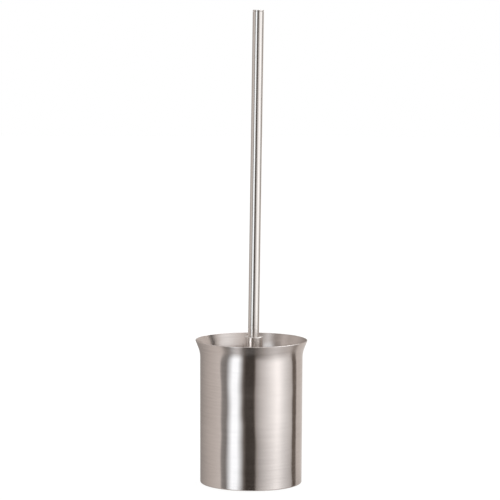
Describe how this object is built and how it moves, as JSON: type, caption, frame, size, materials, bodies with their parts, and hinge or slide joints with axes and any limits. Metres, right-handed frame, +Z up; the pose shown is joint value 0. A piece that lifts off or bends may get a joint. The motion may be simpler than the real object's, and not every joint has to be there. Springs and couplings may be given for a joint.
{
  "type": "toilet brush holder",
  "caption": "Free-standing brushed steel canister with a flared mouth and a lift-out liner, holding a toilet brush with a slim round steel handle.",
  "frame": {"origin": "centre of the anti-slip pad's underside, on the floor", "axes": "+Z up along the canister; the brush handle leans slightly towards +X"},
  "size_m": [0.1116, 0.1116, 0.4709],
  "materials": {
    "canister_steel": "satin, brushed round the axis",
    "handle_steel": "satin, finely ground round the axis",
    "zinc_steel": "dull bright zinc",
    "core_plastic": "moulded, slightly glossy",
    "liner_plastic": "moulded satin",
    "bristle_nylon": "crimped white filament",
    "pad_rubber": "fine-textured matte"
  },
  "bodies": {
    "holder": {"canister_shell": "canister_steel", "base_pad": "pad_rubber"},
    "liner": {"drip_liner": "liner_plastic"},
    "brush_head": {"head_core": "core_plastic", "thread_stud": "zinc_steel", "crown_tuft": "bristle_nylon", "crown_ring_lower": "bristle_nylon", "crown_ring_upper": "bristle_nylon", "bristle_row_1": "bristle_nylon", "bristle_row_2": "bristle_nylon", "bristle_row_3": "bristle_nylon", "bristle_row_4": "bristle_nylon", "bristle_row_5": "bristle_nylon", "bristle_row_6": "bristle_nylon", "bristle_row_7": "bristle_nylon"},
    "collar": {"ferrule": "handle_steel"},
    "handle": {"handle_tube": "handle_steel", "end_cap": "handle_steel", "tube_nut": "zinc_steel"}
  },
  "joints": [
    {"name": "liner_lift", "type": "slide", "parent": "holder", "child": "liner", "axis": [0, 0, 1], "range_m": [0, 0.15]},
    {"name": "brush_lift", "type": "slide", "parent": "liner", "child": "brush_head", "axis": [0, 0, 1], "range_m": [0, 0.16]},
    {"name": "ferrule_rise", "type": "slide", "parent": "brush_head", "child": "collar", "axis": [0.0108, 0, 0.9999], "range_m": [0, 0.01]},
    {"name": "handle_unscrew", "type": "hinge", "parent": "collar", "child": "handle", "pos_m": [0.0005, 0, 0.0062], "axis": [0.0108, 0, 0.9999], "range_deg": [0, 3600]}
  ],
  "couplings": [
    {"joint": "handle_unscrew", "follows": "ferrule_rise", "rad_per_m": 6283.2}
  ]
}
